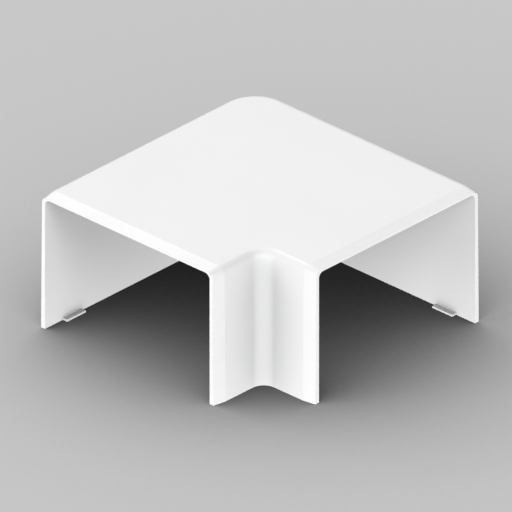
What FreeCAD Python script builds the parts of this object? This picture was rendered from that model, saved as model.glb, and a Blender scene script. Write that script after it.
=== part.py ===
import FreeCAD
import Part

import math
import os

from FreeCAD import Vector

# Flat elbow cover for rectangular cable trunking, moulded in one piece. It drops over the
# bend where two runs meet at a right angle, and its open underside lies against the wall.
# All sizes are in millimetres. +Z points away from the wall, one mouth opens along +X and
# the other along -Y. The origin is the middle of the overall square, on the wall.

# The trunking that the cover goes over, and the room that is left round it.
trunking_width = 60.0
trunking_height = 40.0
side_clearance = 0.8
head_clearance = 0.1

# Walls. The side walls have upright inside faces, and their outside faces lean in by the
# draft, so side_wall is their thickness at the base.
side_wall = 2.15
top_wall = 1.1
draft_deg = 0.5

# Plan of the elbow. The reach runs from the inside face of each short wall to its mouth.
mouth_reach = 21.0
outer_corner_radius = 11.0
inner_corner_radius = 4.0

# Rounding of the long edge between the top and the side walls, outside and inside.
top_edge_radius = 2.5
inside_edge_radius = 1.7

# The bevelled lip that thins both side walls and the top towards each mouth.
lip_length = 4.0
lip_side_inset = 0.7
lip_top_inset = 0.55
lip_edge_radius = 1.9

# Snap lugs along the foot of the side walls, in pairs that face each other in each mouth.
lug_setback = 7.1
lug_length = 7.4
lug_reach = 1.6
lug_thickness = 0.55

# Worked out from the sizes above.
inside_width = trunking_width + 2 * side_clearance
inside_height = trunking_height + head_clearance
overall_height = inside_height + top_wall
overall_length = side_wall + inside_width + mouth_reach
arm_width = inside_width + 2 * side_wall
body_length = overall_length - lip_length
draft_slope = math.tan(math.radians(draft_deg))

# How far a cut runs past the face that it opens, and how near counts as on a plane.
overcut = 1.0
on_plane = 1e-4

outer_corner = Vector(-overall_length / 2, overall_length / 2, 0)


def at(along_x, along_y, z):
    """Point at two distances from the elbow's outer corner, each measured towards a mouth."""
    return outer_corner + Vector(along_x, -along_y, z)


def rounded_wire(corners):
    """Closed wire through a list of (point, radius). A radius of 0 keeps a corner sharp."""
    stretches = []
    for index, (point, radius) in enumerate(corners):
        before = corners[index - 1][0]
        after = corners[(index + 1) % len(corners)][0]
        if radius <= 0:
            stretches.append((point, None, point))
            continue
        back = (before - point).normalize()
        ahead = (after - point).normalize()
        half_angle = back.getAngle(ahead) / 2
        reach = radius / math.tan(half_angle)
        to_arc = radius / math.sin(half_angle) - radius
        middle = point + (back + ahead).normalize() * to_arc
        stretches.append((point + back * reach, middle, point + ahead * reach))
    edges = []
    for index, (start, middle, end) in enumerate(stretches):
        if middle is not None:
            edges.append(Part.Arc(start, middle, end).toShape())
        next_start = stretches[(index + 1) % len(stretches)][0]
        edges.append(Part.LineSegment(end, next_start).toShape())
    return Part.Wire(edges)


def elbow_outline(z, outer, inner, reach, outer_radius, inner_radius):
    """L-shaped outline at height z, with its faces at these distances from the outer corner."""
    corners = [
        (outer, outer, outer_radius),
        (reach, outer, 0),
        (reach, inner, 0),
        (inner, inner, inner_radius),
        (inner, reach, 0),
        (outer, reach, 0),
    ]
    return rounded_wire([(at(u, v, z), radius) for u, v, radius in corners])


def long_top_edges(solid, height, reach):
    """Edges round the top of an L-shaped solid, leaving out those across its two ends."""
    found = []
    for edge in solid.Edges:
        box = edge.BoundBox
        on_top = box.ZMin > height - on_plane and box.ZMax < height + on_plane
        at_x_end = box.XMin > at(reach, 0, 0).x - on_plane
        at_y_end = box.YMax < at(0, reach, 0).y + on_plane
        if on_top and not at_x_end and not at_y_end:
            found.append(edge)
    return found


def rounded_elbow(bottom, top, height, reach, edge_radius):
    """Solid between two L-shaped outlines, with its long top edge rounded."""
    solid = Part.makeLoft([bottom, top], True, True)
    return solid.makeFillet(edge_radius, long_top_edges(solid, height, reach))


def outer_body():
    """Outside form of the elbow between the two lips. Its sides lean in by the draft."""
    lean = overall_height * draft_slope
    foot = elbow_outline(
        0, 0, arm_width, body_length, outer_corner_radius, inner_corner_radius
    )
    head = elbow_outline(
        overall_height,
        lean,
        arm_width - lean,
        body_length,
        outer_corner_radius - lean,
        inner_corner_radius + lean,
    )
    return rounded_elbow(foot, head, overall_height, body_length, top_edge_radius)


def arm_section(along, inset, height, edge_radius):
    """Outside section of the arm along X, drawn in from the full section by the inset."""
    lean = height * draft_slope
    corners = [
        (inset, 0, 0),
        (inset + lean, height, edge_radius),
        (arm_width - inset - lean, height, edge_radius),
        (arm_width - inset, 0, 0),
    ]
    return rounded_wire([(at(along, v, z), radius) for v, z, radius in corners])


def lip():
    """Outside form of the bevelled lip round the mouth that opens along X."""
    full = arm_section(body_length, 0, overall_height, top_edge_radius)
    thinned = arm_section(
        overall_length,
        lip_side_inset,
        overall_height - lip_top_inset,
        lip_edge_radius,
    )
    return Part.makeLoft([full, thinned], True, True)


def cavity():
    """Room for the trunking, open at the base and through both mouths."""
    far = side_wall + inside_width
    reach = overall_length + overcut
    outline = [
        elbow_outline(
            z,
            side_wall,
            far,
            reach,
            outer_corner_radius - side_wall,
            inner_corner_radius + side_wall,
        )
        for z in (-overcut, inside_height)
    ]
    return rounded_elbow(*outline, inside_height, reach, inside_edge_radius)


def lugs():
    """The pair of snap lugs in the mouth that opens along X."""
    root = side_wall / 2
    near_end = overall_length - lug_setback - lug_length
    far_wall = side_wall + inside_width
    starts = [side_wall - root, far_wall - lug_reach]
    return [
        Part.makeBox(
            lug_length,
            lug_reach + root,
            lug_thickness,
            at(near_end, start + lug_reach + root, 0),
        )
        for start in starts
    ]


def across_the_diagonal(shape):
    """The same shape for the arm along Y."""
    return shape.mirror(outer_corner, Vector(1, 1, 0))


def elbow_cover():
    """The whole moulding."""
    x_lip = lip()
    outside = outer_body().fuse([x_lip, across_the_diagonal(x_lip)])
    shell = outside.removeSplitter().cut(cavity())
    x_lugs = lugs()
    y_lugs = [across_the_diagonal(lug) for lug in x_lugs]
    return shell.fuse(x_lugs + y_lugs).removeSplitter()


os.makedirs("parts", exist_ok=True)
cover = elbow_cover()
cover.exportStep("parts/elbow_cover.step")
size = cover.BoundBox
print(
    f"elbow_cover: {len(cover.Solids)} solid, {len(cover.Faces)} faces, "
    f"{size.XLength:.2f} x {size.YLength:.2f} x {size.ZLength:.2f} mm, "
    f"{cover.Volume:.0f} mm3, valid {cover.isValid()}"
)
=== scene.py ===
# %% [markdown]
# A trunking elbow in white plastic.
# The real object is one injection moulding: a flat cover that turns a corner over two runs of
# rectangular cable trunking. Its shape, its walls and its snap lugs come finished from the CAD
# frame, so nothing is modelled twice here. What is left for Blender is the surface of the plastic,
# the floor, the soft light and the camera.

import math

import bmesh
import bpy
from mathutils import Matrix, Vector


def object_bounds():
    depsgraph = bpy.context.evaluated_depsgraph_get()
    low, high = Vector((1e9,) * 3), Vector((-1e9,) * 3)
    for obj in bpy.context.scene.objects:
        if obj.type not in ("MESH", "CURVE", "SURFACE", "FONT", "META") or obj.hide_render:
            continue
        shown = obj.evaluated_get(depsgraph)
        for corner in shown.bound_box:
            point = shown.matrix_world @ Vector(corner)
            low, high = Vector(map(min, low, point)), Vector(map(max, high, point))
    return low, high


MM_PER_METRE = 1000

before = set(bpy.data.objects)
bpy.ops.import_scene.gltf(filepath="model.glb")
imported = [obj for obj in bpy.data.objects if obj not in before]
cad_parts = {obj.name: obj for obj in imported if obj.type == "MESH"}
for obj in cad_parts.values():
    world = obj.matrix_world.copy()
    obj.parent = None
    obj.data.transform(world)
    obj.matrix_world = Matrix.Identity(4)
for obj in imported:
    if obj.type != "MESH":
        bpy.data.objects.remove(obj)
cad_low, cad_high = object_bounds()
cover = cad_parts["elbow_cover"]
print("cover", [round(MM_PER_METRE * side, 2) for side in cad_high - cad_low], "mm")
print("cover mesh", len(cover.data.polygons), "faces")

# %% [markdown]
# Where the surface bends and where it breaks. A real moulding has flat faces, soft rounded edges and
# a few crisp ones: the ends of the walls, the lugs, and the line where each bevelled lip begins.
# The frame's mesh has smoothed normals everywhere, which would blur the lip's line away. Its
# vertices must stay as they are, so the crisp edges are marked by modifiers, which leave the mesh
# alone. An edge is crisp if its faces meet at a wide angle, or if it lies on the start of a lip.
# First come the places where the two lips begin, measured back from each mouth.

# %% Find where the lips begin
LIP_LENGTH = 0.004
LIP_START_X = cad_high.x - LIP_LENGTH
LIP_START_Y = cad_low.y + LIP_LENGTH
print("lips begin at x", round(LIP_START_X, 5), "and y", round(LIP_START_Y, 5), "m")

# %% [markdown]
# The edges on those two planes are found by a node group, and two of its steps are needed twice.
# So each is a small function that adds its nodes and hands back their result: one asks whether both
# ends of an edge have a certain coordinate, and the other whether one of two answers is yes.

# %% Write the two steps that repeat
ON_PLANE = 1e-5


def on_plane(group, coordinate, place):
    """True for an edge whose two ends have this coordinate."""
    nodes, links = group.nodes, group.links
    near = nodes.new("FunctionNodeCompare")
    near.data_type = "FLOAT"
    near.operation = "EQUAL"
    near.inputs["B"].default_value = place
    near.inputs["Epsilon"].default_value = ON_PLANE
    links.new(coordinate, near.inputs["A"])
    both_ends = nodes.new("GeometryNodeFieldOnDomain")
    both_ends.domain = "EDGE"
    both_ends.data_type = "BOOLEAN"
    links.new(near.outputs["Result"], both_ends.inputs["Value"])
    return both_ends.outputs["Value"]


def either(group, first, second):
    """True where one of the two is true."""
    choice = group.nodes.new("FunctionNodeBooleanMath")
    choice.operation = "OR"
    group.links.new(first, choice.inputs[0])
    group.links.new(second, choice.inputs[1])
    return choice.outputs["Boolean"]


print("an edge is on a plane within", ON_PLANE, "m")

# %% [markdown]
# The node group joins the loose triangles first, because an edge has an angle only where two faces
# share it. Then it marks the crisp edges. After it, a Weighted Normal modifier lets the large flat
# faces rule the normals, so that they shade flat up to their rounded borders.

# %% Mark the crisp edges
CRISP_ANGLE = math.radians(35)
SAME_PLACE = 1e-6


def crisp_edges():
    """A node group that joins loose triangles and marks the crisp edges."""
    group = bpy.data.node_groups.new("crisp_edges", "GeometryNodeTree")
    group.interface.new_socket("Geometry", in_out="INPUT", socket_type="NodeSocketGeometry")
    group.interface.new_socket("Geometry", in_out="OUTPUT", socket_type="NodeSocketGeometry")
    nodes, links = group.nodes, group.links
    start = nodes.new("NodeGroupInput")
    end = nodes.new("NodeGroupOutput")
    join = nodes.new("GeometryNodeMergeByDistance")
    join.inputs["Distance"].default_value = SAME_PLACE
    links.new(start.outputs["Geometry"], join.inputs["Geometry"])

    angle = nodes.new("GeometryNodeInputMeshEdgeAngle")
    wide = nodes.new("FunctionNodeCompare")
    wide.data_type = "FLOAT"
    wide.operation = "GREATER_THAN"
    wide.inputs["B"].default_value = CRISP_ANGLE
    links.new(angle.outputs["Unsigned Angle"], wide.inputs["A"])

    place = nodes.new("GeometryNodeInputPosition")
    parts = nodes.new("ShaderNodeSeparateXYZ")
    links.new(place.outputs["Position"], parts.inputs["Vector"])
    at_x = on_plane(group, parts.outputs["X"], LIP_START_X)
    at_y = on_plane(group, parts.outputs["Y"], LIP_START_Y)
    crisp = either(group, wide.outputs["Result"], either(group, at_x, at_y))

    normals = nodes.new("GeometryNodeSetMeshNormal")
    normals.mode = "SHARPNESS"
    normals.inputs["Remove Custom"].default_value = True
    links.new(join.outputs["Geometry"], normals.inputs["Mesh"])
    links.new(crisp, normals.inputs["Edge Sharpness"])
    links.new(normals.outputs["Mesh"], end.inputs["Geometry"])
    return group


mark = cover.modifiers.new("crisp_edges", "NODES")
mark.node_group = crisp_edges()
flat_faces = cover.modifiers.new("flat_faces_rule", "WEIGHTED_NORMAL")
flat_faces.mode = "FACE_AREA_WITH_ANGLE"
flat_faces.keep_sharp = True

shown = cover.evaluated_get(bpy.context.evaluated_depsgraph_get()).data
sharp = shown.attributes["sharp_edge"].data
print("crisp edges:", sum(edge.value for edge in sharp), "of", len(shown.edges))

# %% [markdown]
# The plastic. A cover like this is moulded in a hard white plastic with a fine satin skin, which
# spreads a highlight without mirroring the room. The white is almost neutral, a trace cool. Two
# faint noises keep the surface from looking painted by a computer: a broad one that lifts and lowers
# the roughness, as the polish of the mould does, and a fine one that makes the skin very slightly
# uneven.

# %% Make the satin white plastic
PLASTIC_WHITE = (0.805, 0.81, 0.8075, 1.0)
PLASTIC_IOR = 1.46
POLISH_PATCHES = 60.0
POLISH_DETAIL = 3.0
SMOOTHEST = 0.44
ROUGHEST = 0.56
SKIN_GRAIN = 2500.0
SKIN_DETAIL = 2.0
SKIN_STRENGTH = 0.04
SKIN_DEPTH = 0.00005


def satin_plastic():
    """White plastic with a satin skin, both noises on Object coordinates."""
    material = bpy.data.materials.new("satin_white_plastic")
    material.use_nodes = True
    nodes = material.node_tree.nodes
    links = material.node_tree.links
    shader = nodes["Principled BSDF"]
    shader.inputs["Base Color"].default_value = PLASTIC_WHITE
    shader.inputs["IOR"].default_value = PLASTIC_IOR
    place = nodes.new("ShaderNodeTexCoord")

    polish = nodes.new("ShaderNodeTexNoise")
    polish.inputs["Scale"].default_value = POLISH_PATCHES
    polish.inputs["Detail"].default_value = POLISH_DETAIL
    links.new(place.outputs["Object"], polish.inputs["Vector"])
    gloss = nodes.new("ShaderNodeMapRange")
    gloss.inputs["To Min"].default_value = SMOOTHEST
    gloss.inputs["To Max"].default_value = ROUGHEST
    links.new(polish.outputs["Fac"], gloss.inputs["Value"])
    links.new(gloss.outputs["Result"], shader.inputs["Roughness"])

    grain = nodes.new("ShaderNodeTexNoise")
    grain.inputs["Scale"].default_value = SKIN_GRAIN
    grain.inputs["Detail"].default_value = SKIN_DETAIL
    links.new(place.outputs["Object"], grain.inputs["Vector"])
    skin = nodes.new("ShaderNodeBump")
    skin.inputs["Strength"].default_value = SKIN_STRENGTH
    skin.inputs["Distance"].default_value = SKIN_DEPTH
    links.new(grain.outputs["Fac"], skin.inputs["Height"])
    links.new(skin.outputs["Normal"], shader.inputs["Normal"])
    return material


plastic = satin_plastic()
cover.data.materials.clear()
cover.data.materials.append(plastic)
print("slots on the cover:", [slot.material.name for slot in cover.material_slots])

# %% [markdown]
# The floor. The cover stands on its open side on a plain pale floor that runs far past the edges of
# the picture, so that no horizon shows. It is stage, not part of the object. In the photo the floor
# has one even tone, which darkens softly near the cover, inside it most of all, and a little more
# on the right than on the left. Such a shade follows how much of the room overhead the cover hides
# from a point of the floor. Ambient occlusion measures that, with its upward direction tilted to the
# left of the picture, where the photo's floor is lighter. A power of it gives the tone that the
# camera sees. Other rays meet a plain glow instead, for the light that a pale floor throws up on the
# walls. So the shade is painted on the floor and isn't cast by the lamps.

# %% Work out the floor's tone and its painted shade
FLOOR_TONE = 0.578
DEEPEST_PAINTED_SHADE = 0.006
SHADOW_REACH = 0.15
SHADOW_POWER = 1.72
LIGHTER_SIDE = math.radians(318)
UPWARD_TILT = math.radians(12)


def direction(azimuth, elevation):
    """Unit vector towards a place: azimuth 0 is in front, at -Y, and 90 degrees is at +X."""
    across = math.cos(elevation)
    return Vector((math.sin(azimuth) * across, -math.cos(azimuth) * across, math.sin(elevation)))


def seen_rays(nodes, links):
    """1 for rays that show the floor or the backdrop to the eye, and 0 for rays of light."""
    path = nodes.new("ShaderNodeLightPath")
    total = path.outputs["Is Camera Ray"]
    for name in ("Is Glossy Ray", "Is Transmission Ray"):
        add = nodes.new("ShaderNodeMath")
        add.operation = "ADD"
        add.use_clamp = True
        links.new(total, add.inputs[0])
        links.new(path.outputs[name], add.inputs[1])
        total = add.outputs["Value"]
    return total


def floor_tone_with_painted_shade(nodes, links):
    """The open floor's tone, with painted shade where the cover hides the room overhead."""
    upward = nodes.new("ShaderNodeCombineXYZ")
    for axis, value in zip("XYZ", direction(LIGHTER_SIDE, math.pi / 2 - UPWARD_TILT)):
        upward.inputs[axis].default_value = value
    # The occlusion below becomes the painted shade that the camera sees on the floor.
    open_share = nodes.new("ShaderNodeAmbientOcclusion")
    open_share.inputs["Distance"].default_value = SHADOW_REACH
    links.new(upward.outputs["Vector"], open_share.inputs["Normal"])
    deeper = nodes.new("ShaderNodeMath")
    deeper.operation = "POWER"
    deeper.inputs[1].default_value = SHADOW_POWER
    links.new(open_share.outputs["AO"], deeper.inputs[0])
    tone = nodes.new("ShaderNodeMapRange")
    tone.inputs["To Min"].default_value = DEEPEST_PAINTED_SHADE
    tone.inputs["To Max"].default_value = FLOOR_TONE
    links.new(deeper.outputs["Value"], tone.inputs["Value"])
    return tone.outputs["Result"]


print("floor tone from", DEEPEST_PAINTED_SHADE, "to", FLOOR_TONE)

# %% [markdown]
# The floor itself is one large square. Its material holds two glows, one with the painted shade for
# the rays that show it to the eye and one for the rays of light, and the kind of ray chooses between
# them.

# %% Lay the floor
FLOOR_HALF_WIDTH = 1.5
FLOOR_GLOW = 1.05


def pale_floor_material():
    """The worked out tone with its painted shade where the floor is seen, and a plain glow for light.
    """
    material = bpy.data.materials.new("pale_floor")
    material.use_nodes = True
    nodes, links = material.node_tree.nodes, material.node_tree.links
    nodes.remove(nodes["Principled BSDF"])
    seen = nodes.new("ShaderNodeEmission")
    links.new(floor_tone_with_painted_shade(nodes, links), seen.inputs["Strength"])
    glow = nodes.new("ShaderNodeEmission")
    glow.inputs["Strength"].default_value = FLOOR_GLOW
    choice = nodes.new("ShaderNodeMixShader")
    links.new(seen_rays(nodes, links), choice.inputs["Fac"])
    links.new(glow.outputs["Emission"], choice.inputs[1])
    links.new(seen.outputs["Emission"], choice.inputs[2])
    links.new(choice.outputs["Shader"], nodes["Material Output"].inputs["Surface"])
    return material


def plain_floor():
    """A large square at z = 0, on which the cover stands."""
    mesh = bpy.data.meshes.new("floor")
    plane = bmesh.new()
    bmesh.ops.create_grid(plane, x_segments=1, y_segments=1, size=FLOOR_HALF_WIDTH)
    plane.to_mesh(mesh)
    plane.free()
    floor = bpy.data.objects.new("floor", mesh)
    bpy.context.scene.collection.objects.link(floor)
    floor.data.materials.append(pale_floor_material())
    return floor


floor = plain_floor()
print("floor at z", floor.location.z)

# %% [markdown]
# The light. A ring of large soft lamps stands round the cover. The strongest, the key, is high at
# the back and a little to the left, so the lip of the right mouth, which tilts away from it, is a
# little darker than the top. The others fill in from the front and the right, with a half or a
# quarter of the key's power. They make the lip of the left mouth brighter than the top and reach
# into both mouths. Their places were found by setting many soft lamps against the photo's tones.
# The photo shows folds that grow darker towards their depth, as if no light were handed on from one
# white wall to the next. Real light would be. To match the picture no diffuse bounces are followed
# here, so what one wall scatters doesn't light another, and only glossy reflections carry on.

# %% Light the scene
LAMP_DISTANCE = 3.0
LAMP_SIZE = 1.6
KEY_POWER = 57.0
HALF_POWER = KEY_POWER / 2
QUARTER_POWER = KEY_POWER / 4
LAMPS = {
    "front": (0, 25, QUARTER_POWER),
    "low_front": (30, 8, HALF_POWER),
    "high_right": (60, 43, HALF_POWER),
    "right": (90, 25, QUARTER_POWER),
    "right_back": (120, 25, QUARTER_POWER),
    "high_back": (240, 43, KEY_POWER),
    "front_left": (330, 25, HALF_POWER),
}


def backdrop():
    """A world that shows the floor's tone beyond the floor and gives no light."""
    world = bpy.data.worlds.new("backdrop")
    world.use_nodes = True
    nodes, links = world.node_tree.nodes, world.node_tree.links
    links.new(seen_rays(nodes, links), nodes["Background"].inputs["Strength"])
    nodes["Background"].inputs["Color"].default_value = (FLOOR_TONE, FLOOR_TONE, FLOOR_TONE, 1.0)
    bpy.context.scene.world = world


def soft_lamp(name, azimuth, elevation, power):
    """A round lamp that looks at the origin from this side, in degrees, with its power in watts."""
    data = bpy.data.lights.new(name, "AREA")
    data.shape = "DISK"
    data.size = LAMP_SIZE
    data.energy = power
    lamp = bpy.data.objects.new(name, data)
    bpy.context.scene.collection.objects.link(lamp)
    towards = direction(math.radians(azimuth), math.radians(elevation))
    lamp.location = towards * LAMP_DISTANCE
    lamp.rotation_euler = towards.to_track_quat("Z", "Y").to_euler()


backdrop()
for name, (azimuth, elevation, power) in LAMPS.items():
    soft_lamp(name, azimuth, elevation, power)
bpy.context.scene.cycles.diffuse_bounces = 0
print("lamps:", len(LAMPS), "with", round(sum(power for _, _, power in LAMPS.values()), 1), "W in all")

# %% [markdown]
# The camera. The picture is a parallel view, as in a catalogue: edges that are parallel on the
# object stay parallel in the picture. So the camera is orthographic, and its scale is set from how
# many millimetres one pixel of the picture covers.

# %% Set the camera
CAMERA_AZIMUTH = math.radians(43.47)
CAMERA_ELEVATION = math.radians(28.76)
MM_PER_PIXEL = 0.2715
METRES_PER_PIXEL = MM_PER_PIXEL / MM_PER_METRE
PICTURE_PIXELS = 512
OUTER_CORNER_PIXEL = (253.97, 217.26)
CAMERA_DISTANCE = 0.6
FARTHEST_SEEN = 10.0


def parallel_camera():
    """A camera that puts the outer corner's foot on its pixel of the picture."""
    data = bpy.data.cameras.new("camera")
    data.type = "ORTHO"
    data.ortho_scale = METRES_PER_PIXEL * PICTURE_PIXELS
    data.clip_end = FARTHEST_SEEN
    camera = bpy.data.objects.new("camera", data)
    bpy.context.scene.collection.objects.link(camera)
    back = direction(CAMERA_AZIMUTH, CAMERA_ELEVATION)
    right = direction(CAMERA_AZIMUTH + math.pi / 2, 0)
    up = back.cross(right)
    middle = PICTURE_PIXELS / 2
    to_right = (middle - OUTER_CORNER_PIXEL[0]) * METRES_PER_PIXEL
    downwards = (middle - OUTER_CORNER_PIXEL[1]) * METRES_PER_PIXEL
    outer_corner = Vector((cad_low.x, cad_high.y, 0))
    target = outer_corner + right * to_right - up * downwards
    camera.location = target + back * CAMERA_DISTANCE
    camera.rotation_euler = back.to_track_quat("Z", "Y").to_euler()
    bpy.context.scene.camera = camera
    return camera


camera = parallel_camera()
print("camera at", [round(x, 3) for x in camera.location])

# %% [markdown]
# The picture keeps its tones as they are written.

# %% Finish
bpy.context.scene.view_settings.view_transform = "Standard"
